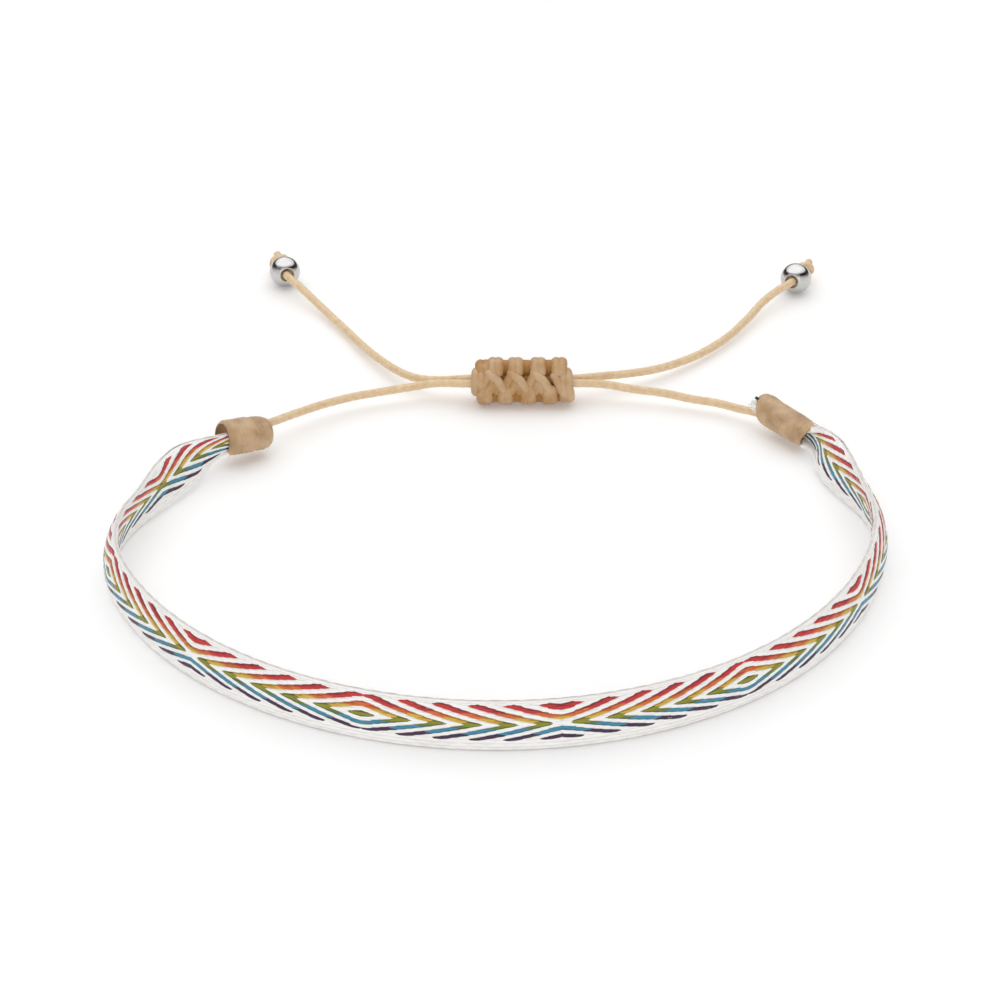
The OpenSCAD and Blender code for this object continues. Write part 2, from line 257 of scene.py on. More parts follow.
cordPlan = {"diameter": 0.8, "grip": 3.6, "lead": 0.5, "plyDepth": 0.1, "layLength": 2.6,
            "colours": ("#D6B88C", "#EAD1AB")}
knot = {"centre": (2.4, 29.3, 2.24), "pitch": 1.85, "loops": 5, "lean": 25, "twist": 0.48}
beads = {"left": {"centre": (-21.7, 54.6, 1.55), "heading": 104, "rise": -8},
         "right": {"centre": (30.3, 53, 1.55), "heading": 66, "rise": -8}}
leftWrapToKnot = [(-19.1, 23, 2.05), (-16.6, 25.4, 1.75), (-13.7, 27.3, 1.6),
                  (-10.5, 28.5, 1.6), (-8, 29.1, 1.75), (-5.7, 29.4, 1.95)]
knotToRightBead = [(10.3, 31.2, 1.8), (12.5, 32.2, 1.5), (15.3, 33.7, 1.2), (17.8, 35.7, 0.95),
                   (20.2, 38.1, 0.8), (22.7, 41.3, 0.8), (24.9, 45, 0.95), (26.5, 47.9, 1.25),
                   (28.1, 49.9, 1.6)]
rightWrapToKnot = [(22.8, 25.4, 1.35), (20.8, 26.7, 1.25), (18.5, 27.4, 1.3), (15.9, 28.3, 1.45),
                   (13.1, 28.7, 1.65), (10.1, 29.2, 1.95)]
knotToLeftBead = [(-5.7, 30.6, 1.65), (-8, 31.5, 1.45), (-10.1, 34, 1.15), (-12.7, 38.4, 0.85),
                  (-15.1, 43.2, 0.7), (-17.4, 47.3, 0.85), (-18.8, 49.4, 1.2), (-20, 51, 1.6)]


def cordInWrap(wrap):
    ahead, left, up = wrapAxes(wrap)
    half, grip = wrap["length"] / 2, cordPlan["grip"]
    return [wrap["centre"] + ahead * s + left * wrap["cordHole"][0] + up * wrap["cordHole"][1]
            for s in (half - grip, half - grip / 2, half + cordPlan["lead"])]


def cordInBead(bead):
    return [np.array(bead["centre"]) + heading(bead["heading"], bead["rise"]) * s
            for s in (-1.9, 0, 1.7, 3.2)]


def twistInKnot(phase):          # half a turn round the other cord, walked towards +X
    x, y, z = knot["centre"]
    run = knot["pitch"] * knot["loops"]
    turns = [math.radians(phase + 45 * i) for i in range(5)]
    return [(x + (i / 4 - 0.5) * run, y - knot["twist"] * math.cos(a), z + knot["twist"] * math.sin(a))
            for i, a in enumerate(turns)]


leftRoute = (cordInWrap(leftWrap) + leftWrapToKnot + twistInKnot(0) + knotToRightBead
             + cordInBead(beads["right"]))
rightRoute = (cordInWrap(rightWrap) + rightWrapToKnot + twistInKnot(180)[::-1] + knotToLeftBead
              + cordInBead(beads["left"]))


def waxedCordMaterial():
    # waxed polyester cord, braided and drawn through wax: a soft satin line along it, the braid
    # just showing, and slightly darker where the wax has gathered
    material, tree = startMaterial("waxedPolyesterCord")
    shader = addNode(tree, "BsdfPrincipled", {"Roughness": 0.42, "IOR": 1.46,
                     "Coat Weight": 0.12, "Coat Roughness": 0.35, "Sheen Weight": 0.1,
                     "Subsurface Weight": 0.12, "Subsurface Scale": 0.0004})
    line = addNode(tree, "UVMap", uv_map="strandLength")
    # the braid repeats every 0.55 mm; the wave node makes one band each 0.314 / scale units
    slantA = addNode(tree, "TexWave", {"Scale": 0.57, "Distortion": 0.6, "Detail": 2.0,
                     "Detail Scale": 3.0}, {"Vector": line.outputs["UV"]},
                     wave_type="BANDS", bands_direction="DIAGONAL")
    patches = addNode(tree, "TexNoise", {"Scale": 1.6, "Detail": 4.0, "Roughness": 0.6},
                      {"Vector": line.outputs["UV"]})
    tone = addNode(tree, "ValToRGB", links={"Fac": patches.outputs["Fac"]})
    for stop, position, hexCode in zip(tone.color_ramp.elements, (0.3, 0.7), cordPlan["colours"]):
        stop.position, stop.color = position, linearColour(hexCode)
    height = addNode(tree, "Math", {1: 0.35}, {0: patches.outputs["Fac"]}, operation="MULTIPLY")
    height = addNode(tree, "Math", None, {0: height.outputs[0], 1: slantA.outputs["Fac"]},
                     operation="ADD")
    bump = addNode(tree, "Bump", {"Strength": 0.55, "Distance": 0.00004},
                   {"Height": height.outputs[0]})
    finishMaterial(tree, shader, tone.outputs["Color"], bump)
    return material


waxedCord = waxedCordMaterial()


def makeCord(name, route, node):
    path = smoothRoute(route, 0.22)
    radius = roundedEnds(path, cordPlan["diameter"] / 2, 0.3)
    tube = strandTube(path, radius, 14, 3, cordPlan["plyDepth"], cordPlan["layLength"])
    return buildMesh(name, [tube], waxedCord, [node]), path


cordFromLeft, leftPath = makeCord("cordFromLeftWrap", leftRoute, "cord_left")
cordFromRight, rightPath = makeCord("cordFromRightWrap", rightRoute, "cord_right")
print("cords", round(np.linalg.norm(np.diff(leftPath, axis=0), axis=1).sum(), 1),
      round(np.linalg.norm(np.diff(rightPath, axis=0), axis=1).sum(), 1), "mm")


# band surface: distance along it, height share from -1 to 1, outer or inner face, lift off the face

wrapBySide = {-1: leftWrap, 1: rightWrap}


def bandTable():
    rows = []
    leftEnd = mouthOf(band["leftRun"]) + leftWrap["length"] - band["leftStop"]
    rightEnd = mouthOf(band["rightRun"]) + rightWrap["length"] + band["cutEnd"]
    for s in np.arange(-leftEnd, rightEnd + 0.01, 0.1):
        side = 1 if s >= 0 else -1
        run = band["rightRun"] if side > 0 else band["leftRun"]
        x, y, turn = runPoint(run, side, abs(s))
        past = abs(s) - mouthOf(run)
        wrap = wrapBySide[side]
        tip = math.radians(wrap["rise"])
        z = (wrap["centre"][2] - wrap["length"] / 2 * math.sin(tip) + wrap["bandHole"][1] * math.cos(tip)
             + max(0, past) * math.tan(tip))
        bundle = band["rightBundle"] if side > 0 else band["leftBundle"]
        rows.append((s, x, y, side * math.sin(turn), -side * math.cos(turn), past, z, *bundle,
                     *band["gather"][side], band["endLeanHeight"][side]))
    return np.array(rows).T


bandRows = bandTable()


def bandSection(s, v, outer):    # outward offset and height of the face
    past, bundleZ, thick, high, low, top, tipHeight = [np.interp(s, bandRows[0], bandRows[k])
                                                       for k in range(5, 12)]
    gathered = easeIn(1 + past / (low + (top - low) * (1 + v) / 2))
    tipped = easeIn((past + band["leanTurn"][0]) / (band["leanTurn"][0] - band["leanTurn"][1]))
    flatUp = band["width"] * (1 + v) / 2
    flatUp = flatUp + band["endLift"] * tipped * np.clip(1 - flatUp / band["liftTop"], 0, 1)
    curl = tipped * np.clip((v - band["curlFrom"]) / (1 - band["curlFrom"]), 0, 1) ** 2
    flatUp = flatUp - band["endDip"] * curl
    rounding = band["selvedgeRound"] * np.abs(v) ** 12
    flatOut = np.where(outer, band["outerCrown"] * (1 - v ** 2) - rounding,
                       rounding - band["edge"] - band["innerCrown"] * (1 - v ** 2))
    flatOut = (flatOut + (band["leanHeight"] - flatUp) * math.tan(math.radians(band["lean"])) * (1 - tipped)
               - (tipHeight - flatUp) * math.tan(math.radians(band["endLean"])) * tipped
               + band["endCurl"] * curl)
    a = v * math.radians(band["bundleArc"])
    bundleOut = np.where(outer, 1, -1) * thick / 2 * np.cos(a) - band["edge"] / 2
    bundleUp = bundleZ + high / 2 * np.sin(a)
    return (flatOut * (1 - gathered) + bundleOut * gathered,
            flatUp * (1 - gathered) + bundleUp * gathered)


def bandPoint(s, v, outer, lift):
    s, v, lift, outer = np.broadcast_arrays(s, v, lift, outer)
    out, up = bandSection(s, v, outer)
    outA, upA = bandSection(s, v - 0.02, outer)
    outB, upB = bandSection(s, v + 0.02, outer)
    slope = unit(np.stack([upB - upA, outA - outB], -1)) * np.where(outer, 1, -1)[..., None]
    out = out + slope[..., 0] * lift
    up = up + slope[..., 1] * lift
    x, y, outX, outY = [np.interp(s, bandRows[0], bandRows[k]) for k in (1, 2, 3, 4)]
    return np.stack([x + outX * out, y + outY * out, np.maximum(up, 0.02)], -1)


def yarnMaterial(name, hexCode, deepToneAndShadeHex, gloss=0.48):
    # mercerised cotton floss, two plies twisted tight: a silky line along each float, fine
    # slanting fibres, and painted shade along its rims where it dives under its neighbours, strong on the
    # side towards the band's edge and light on the side towards the apex
    material, tree = startMaterial(name)
    shader = addNode(tree, "BsdfPrincipled", {"Roughness": gloss, "IOR": 1.5,
                     "Sheen Weight": 0.25, "Sheen Roughness": 0.4})
    line = addNode(tree, "UVMap", uv_map="strandLength")
    # fibres lie 0.05 mm apart and slant across the float
    fibres = addNode(tree, "TexWave", {"Scale": 4.2, "Distortion": 1.2, "Detail": 2.0},
                     {"Vector": line.outputs["UV"]}, wave_type="BANDS", bands_direction="DIAGONAL")
    shade = addNode(tree, "Attribute", attribute_name="strandShade")
    split = addNode(tree, "SeparateXYZ", links={"Vector": line.outputs["UV"]})
    rim = addNode(tree, "Math", {1: 2 / weave["floatAcross"], 2: -1.0}, {0: split.outputs["Y"]},
                  operation="MULTIPLY_ADD")      # -1 and 1 at the two sides of a float
    # painted shade: darkens the rim on the side towards the band's edge, nearly to the deep colour
    edgeSidePaintedShade = addNode(tree, "MapRange", {"From Min": 0.02, "From Max": 0.4, "To Max": 0.95},
                       {"Value": rim.outputs[0]})
    # painted shade, lighter: darkens the rim on the side towards the apex
    apexSidePaintedShade = addNode(tree, "MapRange", {"From Min": -0.3, "From Max": -0.8, "To Max": 0.3},
                       {"Value": rim.outputs[0]})
    mixFac = addNode(tree, "Math", {1: 0.35}, {0: fibres.outputs["Fac"], 2: shade.outputs["Fac"]},
                     operation="MULTIPLY_ADD")
    mixFac = addNode(tree, "Math", None, {0: mixFac.outputs[0], 1: edgeSidePaintedShade.outputs["Result"]},
                     operation="SUBTRACT")
    mixFac = addNode(tree, "Math", None, {0: mixFac.outputs[0], 1: apexSidePaintedShade.outputs["Result"]},
                     operation="SUBTRACT", use_clamp=True)
    tone = addNode(tree, "Mix", {6: linearColour(deepToneAndShadeHex), 7: linearColour(hexCode)},
                   {0: mixFac.outputs[0]}, data_type="RGBA")
    bump = addNode(tree, "Bump", {"Strength": 0.4, "Distance": 0.00001},
                   {"Height": fibres.outputs["Fac"]})
    finishMaterial(tree, shader, tone.outputs[2], bump)
    return material


weave = {
    # places along the band where the weaver reversed the turning, apex and crossing by turns
    "reversals": [-91.5, -76.0, -59.2, -43.7, -27.9, -11.0, 5.2, 21.8, 38.0, 54.5, 70.8, 87.0],
    "firstIsApex": False, "picks": 22, "apexStretch": 1.17, "crossStretch": 1.34,
    "apexHeight": 2.6, "upperBorder": 4.05, "lowerBorder": 1.22,
    "upperYarns": ["red"] * 3 + ["orange"] * 2 + ["yellow"] * 2 + ["olive"],
    "lowerYarns": ["olive", "green"] + ["teal"] * 3 + ["purple"] * 3,
    "upperEdge": 2, "lowerEdge": 3,       # plain white columns along each edge
    "floatLength": 1.75, "floatWidth": 1.0, "floatSlant": 0.45, "borderSlant": 0.4, "apexReach": 0.3,
    "floatLift": 0.08, "floatSink": 0.03, "floatSeat": 0.035, "wander": 0.012, "floatAcross": 0.3,
    "colouredRise": 0.01,                 # the coloured yarn lies a little proud of the white
}
# second colour of each yarn: the deep colour its floats mix towards, a little through their random tone and
# mostly through the painted rim shade
yarns = {
    "red": ("#CE3032", "#6E1018"), "orange": ("#DC6C2C", "#8E3A12"), "yellow": ("#DDB232", "#95701A"),
    "olive": ("#92921A", "#4C4C08"), "green": ("#637C38", "#35481C"), "teal": ("#3C90AC", "#1D5068"),
    "purple": ("#3E1C44", "#1E0C22"), "white": ("#FFFEFC", "#E6E2DE"),
}


def columnPlan():                # yarn, top, bottom and rank from the apex of each column, top down
    plan = []
    upper, lower = weave["upperYarns"], weave["lowerYarns"]
    stretches = [("white", band["width"], weave["upperBorder"], weave["upperEdge"], len(upper), -1),
                 (upper, weave["upperBorder"], weave["apexHeight"], len(upper), 0, -1),
                 (lower, weave["apexHeight"], weave["lowerBorder"], len(lower), 0, 1),
                 ("white", weave["lowerBorder"], 0, weave["lowerEdge"], len(lower), 1)]
    for colours, top, low, count, base, half in stretches:
        step = (top - low) / count
        for i in range(count):
            rank = base + (i if half > 0 else count - 1 - i)
            plan.append(("white" if colours == "white" else colours[i], top - step * i, step, rank, half))
    return plan


def pickPlan():                  # start, end, count from the apex and way the count runs, left to right
    picks = []
    turns = weave["reversals"]
    for n, (a, b) in enumerate(zip(turns, turns[1:])):
        fromApex = (n % 2 == 0) == weave["firstIsApex"]
        plain = abs(b - a) / (weave["picks"] - 2 + weave["apexStretch"] + weave["crossStretch"])
        widths = ([plain * weave["apexStretch"]] + [plain] * (weave["picks"] - 2)
                  + [plain * weave["crossStretch"]])
        counts = list(range(weave["picks"]))
        if not fromApex:
            widths, counts = widths[::-1], counts[::-1]
        starts = a + np.concatenate([[0], np.cumsum(widths)])
        picks += [(starts[i], starts[i + 1], counts[i], 1 if fromApex else -1) for i in range(len(counts))]
    low, high = bandRows[0][0] + 0.3, bandRows[0][-1] - band["cutEnd"] - 0.6
    return [p for p in picks if p[0] > low and p[1] < high]


def floatRuns(rank):             # floats of one column: start, end, coloured outside, way, picks
    runs = []                    # (way is 0 for a float that spans a reversal)
    for start, end, count, way in pickPlan():
        coloured = (count + 1 + rank) % 4 < 2
        if runs and runs[-1][2] == coloured and runs[-1][3] == way and runs[-1][4] < 2:
            runs[-1][1] = end
            runs[-1][4] += 1
        elif (runs and runs[-1][2] == coloured and runs[-1][3] == -way and runs[-1][4] == 1
              and count in (0, weave["picks"] - 1)):
            runs[-1][1], runs[-1][3] = end, 0
            runs[-1][4] = 2
        else:
            runs.append([start, end, coloured, way, 1])
    return runs


def weaveFloats():
    groups = {}
    topRank = len(weave["upperYarns"]) - 1
    for yarn, top, step, rank, half in columnPlan():
        edgeColumn = rank > topRank
        for start, end, coloured, way, picks in floatRuns(rank):
            width = abs(end - start)
            share = 0 if edgeColumn else (weave["borderSlant"] if rank == topRank else weave["floatSlant"])
            slope = half * way * share * step * picks / width       # along the stripe
            plump = step * (0.78 if edgeColumn else weave["floatWidth"])
            grow = weave["apexReach"] if rank == 0 and way else 0     # apex floats run on a little
            for outer in (True, False):
                shown = yarn if yarn == "white" or coloured == outer else "white"
                face = shown if shown != "white" else ("whiteOuter" if outer else "whiteInner")
                groups.setdefault((face, outer, half), []).append(
                    ((start + end + way * grow) / 2, top - step / 2,
                     width * weave["floatLength"] / 2 + grow / 2, plump, slope))
    return groups


def floatBlock(rows, outer, half, proud):
    # one float is a low pod: its rings along, and how broad and high each ring is
    rows = np.array(rows)
    count = len(rows)
    reach = np.array([-1, -0.78, -0.42, 0, 0.42, 0.78, 1])
    broad = np.array([0.06, 0.48, 0.88, 1.0, 0.88, 0.48, 0.06])
    rise = np.array([-1, 0.15, 0.8, 1, 0.8, 0.15, -1])
    turn = np.radians([-90, -54, -18, 18, 54, 90])
    middle, centreZ, halfLong, halfHigh, slope = [rows[:, k][:, None, None] for k in range(5)]
    wander = weave["wander"] * chance.normal(0, 1, (count, 2))
    s = middle + halfLong * reach[None, :, None] + wander[:, 0][:, None, None]
    z = (centreZ + slope * (s - middle) + halfHigh * broad[None, :, None] * np.sin(turn)[None, None]
         + wander[:, 1][:, None, None] * 0.3)
    v = np.clip(z / band["width"] * 2 - 1, -1, 1)
    crest = np.where(rise > 0, rise * weave["floatLift"], rise * weave["floatSink"])
    crest = crest[None, :, None] * (1 + 0.1 * chance.normal(0, 1, count))[:, None, None]
    lift = crest - weave["floatLift"] * (1 - np.cos(turn))[None, None] - weave["floatSeat"] + proud
    s = np.broadcast_to(s, v.shape)
    along = (s[:, :, 0] - middle[:, 0]) + chance.random((count, 1)) * 3
    # mirror turns the lower half's floats round across, so the painted rim shade falls on the side towards
    # the band's edge in both halves
    return {"points": bandPoint(s, v, outer, lift), "along": along, "across": weave["floatAcross"],
            "closed": False, "flip": outer, "mirror": half > 0,
            "shade": np.clip(0.74 + 0.1 * chance.normal(0, 1, count), 0.2, 1)}


floatGroups = weaveFloats()
print("floats", sum(len(g) for g in floatGroups.values()))
yarnMaterials = {name: yarnMaterial(name + "CottonFloss", *codes) for name, codes in yarns.items()}


def makeBand():
    # core of the band: what the floats sit on, seen only in the gaps between them; its low shade value paints
    # the shade in those gaps
    s = bandRows[0][bandRows[0] < bandRows[0][-1] - band["cutEnd"] - 0.3][::8]
    v = np.concatenate([np.linspace(-1, 1, 13), np.linspace(1, -1, 13)])
    outer = np.concatenate([np.ones(13, bool), np.zeros(13, bool)])
    sheet = bandPoint(s[:, None], v[None], outer[None], np.full((len(s), 26), -0.07))
    close = sheet.mean(axis=1, keepdims=True)
    sheet = np.concatenate([close[:1] + (sheet[:1] - close[:1]) * 0.01, sheet,
                            close[-1:] + (sheet[-1:] - close[-1:]) * 0.01])
    along = np.concatenate([[s[0]], s, [s[-1]]])
    core = {"points": sheet[None], "along": along[None], "across": 9.0, "flip": True, "shade": 0.3}
    buildMesh("bandCore", [core], yarnMaterials["white"], ["woven_band"])
    names = sorted({face for face, outer, half in floatGroups})
    for name in names:
        colour = "white" if name.startswith("white") else name
        proud = 0 if colour == "white" else weave["colouredRise"]
        blocks = [floatBlock(rows, outer, half, proud)
                  for (face, outer, half), rows in sorted(floatGroups.items()) if face == name]
        buildMesh("bandYarn_" + name, blocks, yarnMaterials[colour], ["woven_band"])


makeBand()


# the weft turns at both edges, and the loose fibres that stand off the yarn

edgeLook = {"weftThickness": 0.08, "fibres": 420, "fibreLength": (0.25, 0.75), "fibreThickness": 0.018}


def tubeBlock(paths, radius, sides, shade):      # many short strands at once: paths (count, rings, 3)
    tangent = unit(np.gradient(paths, axis=1))
    side = unit(np.cross(tangent, np.array([0.31, 0.11, 0.94])))
    lift = np.cross(tangent, side)
    angle = np.arange(sides) * 2 * np.pi / sides
    r = np.broadcast_to(radius, paths.shape[:2])[..., None, None]
    grid = paths[:, :, None] + r * (np.cos(angle)[:, None] * side[:, :, None]
                                    + np.sin(angle)[:, None] * lift[:, :, None])
    grid[..., 2] = np.maximum(grid[..., 2], 0.0)
    along = np.linspace(0, 0.6, paths.shape[1])[None].repeat(len(paths), 0)
    return {"points": grid, "along": along, "across": weave["floatAcross"], "shade": shade}


def makeEdges():
    starts = np.array([(p[0] + p[1]) / 2 for p in pickPlan()])
    t = np.linspace(0, 1, 9)
    blocks = []
    for v, way in ((0.94, 1), (-0.96, -1)):
        s = starts + chance.normal(0, 0.04, len(starts))
        near = bandPoint(s, v, True, 0.0)
        far = bandPoint(s + 0.34, v, False, 0.0)
        top = (bandPoint(s + 0.1, float(way), True, 0.0) + bandPoint(s + 0.24, float(way), False, 0.0)) / 2
        top[:, 2] += way * chance.normal(0, 0.012, len(s))
        top = 2 * top - (near + far) / 2
        paths = (near[:, None] * ((1 - t) ** 2)[:, None] + top[:, None] * (2 * t * (1 - t))[:, None]
                 + far[:, None] * (t ** 2)[:, None])
        thick = edgeLook["weftThickness"] / 2 * np.sqrt(np.clip(np.sin(t * np.pi), 0.02, 1))
        blocks.append(tubeBlock(paths, thick[None], 7, chance.uniform(0.85, 1, len(s))))
    count = edgeLook["fibres"]
    s = chance.uniform(bandRows[0][0] + 6, bandRows[0][-1] - 8, count)
    v = np.where(chance.random(count) < 0.45, 0.97, chance.uniform(-0.9, 0.97, count))
    outer = chance.random(count) < 0.6
    root = bandPoint(s, v, outer, 0.0)
    off = unit(bandPoint(s, v, outer, 0.4) - root + chance.normal(0, 0.12, (count, 3)))
    drift = bandPoint(s + 0.5, v, outer, 0.0) - root
    drift *= chance.choice([-1.0, 1.0], count)[:, None]
    length = chance.uniform(*edgeLook["fibreLength"], count)[:, None]
    t = np.linspace(0, 1, 5)
    paths = (root[:, None] + off[:, None] * (length * 0.45)[:, None] * np.sin(t * 2.2)[None, :, None]
             + drift[:, None] * (length * 1.6)[:, None] * (t ** 1.3)[None, :, None])
    blocks.append(tubeBlock(paths, edgeLook["fibreThickness"] / 2, 4, np.full(count, 0.9)))
    buildMesh("edgeWeftTurns", blocks, yarnMaterials["white"], ["woven_band"])


makeEdges()


# wraps of waxed thread round the two ends of the band

wrapLook = {
    "threadPitch": 0.42, "threadDepth": 0.04, "unevenness": 0.085, "mouthDepth": 0.8,
    "diameter": {"left": 3.3, "right": 2.8},
    # how far the upper side of the mouth reaches out, and how far the cord's end is tipped
    "slants": {"left": (0.1, 0), "right": (0.95, 0.8)},
    # share of the length from the mouth (-0.5) to the cord's end (0.5), with the share of the radius
    "left": [(-0.5, 0.93), (-0.44, 0.98), (-0.3, 1), (0, 1.02), (0.2, 1.01), (0.34, 0.96), (0.44, 0.87),
             (0.5, 0.76)],
    "right": [(-0.5, 0.86), (-0.42, 0.95), (-0.3, 1), (0, 1.01), (0.36, 1), (0.46, 0.95), (0.5, 0.9)],
}


def waxedThreadMaterial(name, lightHex, waxAndShadeHex):
    # waxed thread wound tight and rubbed down: satin, with random patches of darker wax; low strandShade
    # values mix towards the dark colour as painted shade in hollows and gaps
    material, tree = startMaterial(name)
    shader = addNode(tree, "BsdfPrincipled", {"Roughness": 0.45, "IOR": 1.46,
                     "Coat Weight": 0.15, "Coat Roughness": 0.4, "Sheen Weight": 0.08})
    line = addNode(tree, "UVMap", uv_map="strandLength")
    shade = addNode(tree, "Attribute", attribute_name="strandShade")
    place = addNode(tree, "TexCoord")
    # filaments 0.06 mm apart run round with the thread
    fibres = addNode(tree, "TexWave", {"Scale": 3.5, "Distortion": 2.0, "Detail": 3.0},
                     {"Vector": line.outputs["UV"]}, wave_type="BANDS", bands_direction="X")
    # wax has gathered in patches about 1.6 mm across
    patches = addNode(tree, "TexNoise", {"Scale": 620.0, "Detail": 4.0, "Roughness": 0.5},
                      {"Vector": place.outputs["Object"]})
    spread = addNode(tree, "MapRange", {"From Min": 0.32, "From Max": 0.68, "To Min": -0.34,
                     "To Max": 0.34}, {"Value": patches.outputs["Fac"]})
    mixFac = addNode(tree, "Math", {1: 0.12}, {0: fibres.outputs["Fac"], 2: shade.outputs["Fac"]},
                     operation="MULTIPLY_ADD")
    mixFac = addNode(tree, "Math", None, {0: mixFac.outputs[0], 1: spread.outputs["Result"]},
                     operation="ADD", use_clamp=True)
    tone = addNode(tree, "Mix", {6: linearColour(waxAndShadeHex), 7: linearColour(lightHex)},
                   {0: mixFac.outputs[0]}, data_type="RGBA")
    height = addNode(tree, "Math", None, {0: fibres.outputs["Fac"], 1: patches.outputs["Fac"]},
                     operation="ADD")
    bump = addNode(tree, "Bump", {"Strength": 0.35, "Distance": 0.00002},
                   {"Height": height.outputs[0]})
    finishMaterial(tree, shader, tone.outputs[2], bump)
    return material


# the dark colours serve the wax patches and the painted shade where strandShade is low: wrap end faces, the
# knot's core, strands beneath the knot's arches
wrapThread = waxedThreadMaterial("waxedWrapThread", "#CFAF88", "#8A6236")
knotThread = waxedThreadMaterial("waxedKnottingThread", "#CBAA83", "#A87426")


def makeWrap(wrap, side):
    ahead, left, up = wrapAxes(wrap)
    length, radius, pitch = wrap["length"], wrapLook["diameter"][side] / 2, wrapLook["threadPitch"]
    slants = wrapLook["slants"][side]
    places, shares = np.array(wrapLook[side]).T
    s = np.arange(-length / 2, length / 2 + 0.001, 0.042)
    angle = np.arange(72) * 2 * np.pi / 72
    swell = np.interp(s / length, places, shares) * radius
    turnNumber = s[:, None] / pitch - angle[None] / (2 * np.pi)
    groove = 1 - np.abs(np.cos(np.pi * turnNumber)) ** 0.7
    wobble = chance.normal(0, 1, 64)
    which = np.floor(turnNumber + 0.5).astype(int) % 64
    r = (swell[:, None] - wrapLook["threadDepth"] * groove
         + wrapLook["unevenness"] * 0.25 * wobble[which]
         + wrapLook["unevenness"] * 0.5 * np.sin(2 * angle + 1.1 + s[:, None] * 0.5)
         + wrapLook["unevenness"] * 0.35 * np.sin(3 * angle - 0.6 - s[:, None] * 1.3))
    endDrop = np.clip((length / 2 - np.abs(s)) / 0.3, 0, 1)
    r = r - 0.2 * (1 - np.sqrt(1 - (1 - endDrop) ** 2))[:, None]
    tip = (np.sin(angle)[None] * slants[1] * np.clip(s[:, None] / length * 2, 0, 1) ** 1.5
           - (1 + np.sin(angle))[None] / 2 * slants[0] * np.clip(0.5 - s[:, None] / length, 0, 1) ** 1.5)
    ring = np.cos(angle)[None, :, None] * left + np.sin(angle)[None, :, None] * up
    place = wrap["centre"] + ahead * (s[:, None] + tip)[..., None] + r[..., None] * ring
    blocks = [{"points": place[None], "along": s[None], "across": 2 * np.pi * radius, "shade": 0.58}]
    deep = wrapLook["mouthDepth"]
    # painted shade: the end faces get shade 0, the dark colour, so the hollow mouths look shaded
    for end, rim in ((-1, 0), (1, -1)):          # the two end faces, a little hollow
        inward = np.array([0, 0.25, 0.8, 1.0, 1.0]) * deep * -end
        shrink = np.array([1, 0.93, 0.84, 0.6, 0.02])
        face = (wrap["centre"] + ahead * (s[rim] + tip[rim][None] + inward[:, None])[..., None]
                + (r[rim][None] * shrink[:, None])[..., None] * ring)
        blocks.append({"points": face[None], "along": np.arange(5)[None] * 0.3, "across": 2 * np.pi * radius,
                       "flip": end < 0, "shade": 0.0})
    buildMesh(side + "WrapThread", blocks, wrapThread, ["end_wrap_" + side])


makeWrap(leftWrap, "left")
makeWrap(rightWrap, "right")


# the band's white borders, rolled over on themselves where they enter the wraps; side, how far the
# roll starts inside the wrap, length, thickness at the mouth and at its end, place up the face, lift

rolledBorders = [
    {"side": 1, "start": 1.0, "length": 3.9, "thickness": (0.95, 0.3), "height": (0.3, 0.8),
     "lift": (0.35, 0.05)},
    {"side": 1, "start": 0.6, "length": 3.8, "thickness": (1.0, 0.35), "height": (-0.75, -0.9),
     "lift": (0.3, 0.02)},
    {"side": -1, "start": 0.1, "length": 2.0, "thickness": (0.7, 0.3), "height": (-0.7, -0.85),
     "lift": (0.15, 0.02)},
]


def makeRolledBorders():
    t = np.linspace(0, 1, 26)
    ease = easeIn(t)
    rolls = []
    for border in rolledBorders:
        run = band["rightRun"] if border["side"] > 0 else band["leftRun"]
        s = border["side"] * (mouthOf(run) + border["start"] - border["length"] * (1 - t))
        thick, height, lift = [far + (near - far) * ease for near, far in
                               (border["thickness"], border["height"], border["lift"])]
        path = bandPoint(s, height, False, lift)
        radius = roundedEnds(path, 1, 0.4) * thick / 2
        roll = strandTube(path[::border["side"]], radius[::border["side"]], 48, 8, 0.12, 14)
        roll["across"], roll["shade"] = weave["floatAcross"], 0.9
        rolls.append(roll)
    buildMesh("rolledBorders", rolls, yarnMaterials["white"], ["woven_band"])


makeRolledBorders()


# the band's cut end, teased out past the right wrap

cutEnd = {"threads": 64, "thickness": 0.17, "reach": (0.5, 1.15), "splay": 0.3, "purple": 5}


def makeCutEnd():
    ahead, left, up = wrapAxes(rightWrap)
    half = rightWrap["length"] / 2
    white, purple = [], []
    for i in range(cutEnd["threads"]):
        dark = i < cutEnd["purple"]          # the purple ends lie together, at the top
        side = 0.5 + 0.08 * chance.uniform(-1, 1) if dark else 0.7 + 0.38 * chance.uniform(-1, 1)
        rise = 0.92 + 0.08 * chance.uniform(-1, 1) if dark else chance.uniform(-0.2, 0.7)
        reach = 0.8 if dark else chance.uniform(*cutEnd["reach"])
        spread = cutEnd["splay"] * chance.uniform(0.2, 1) * reach
        lift = rise * 0.12 + chance.uniform(-0.06, 0.06)
        spots = [(half - 0.9, side, rise * 0.9), (half - 0.2, side, rise * 0.95),
                 (half + reach * 0.4, side + spread * 0.3, rise + lift * 0.4),
                 (half + reach, side + spread, rise + lift)]
        path = smoothRoute([rightWrap["centre"] + ahead * a + left * b + up * c for a, b, c in spots], 0.13)
        thread = strandTube(path, roundedEnds(path, cutEnd["thickness"] / 2), 6)
        thread["across"] = weave["floatAcross"]
        thread["shade"] = chance.uniform(0.6, 1)
        (purple if dark else white).append(thread)
    buildMesh("cutEndThreadsWhite", white, yarnMaterials["white"], ["woven_band"])
    buildMesh("cutEndThreadsPurple", purple, yarnMaterials["purple"], ["woven_band"])


makeCutEnd()


# sliding knot: a sinnet of square knots tied round both cords

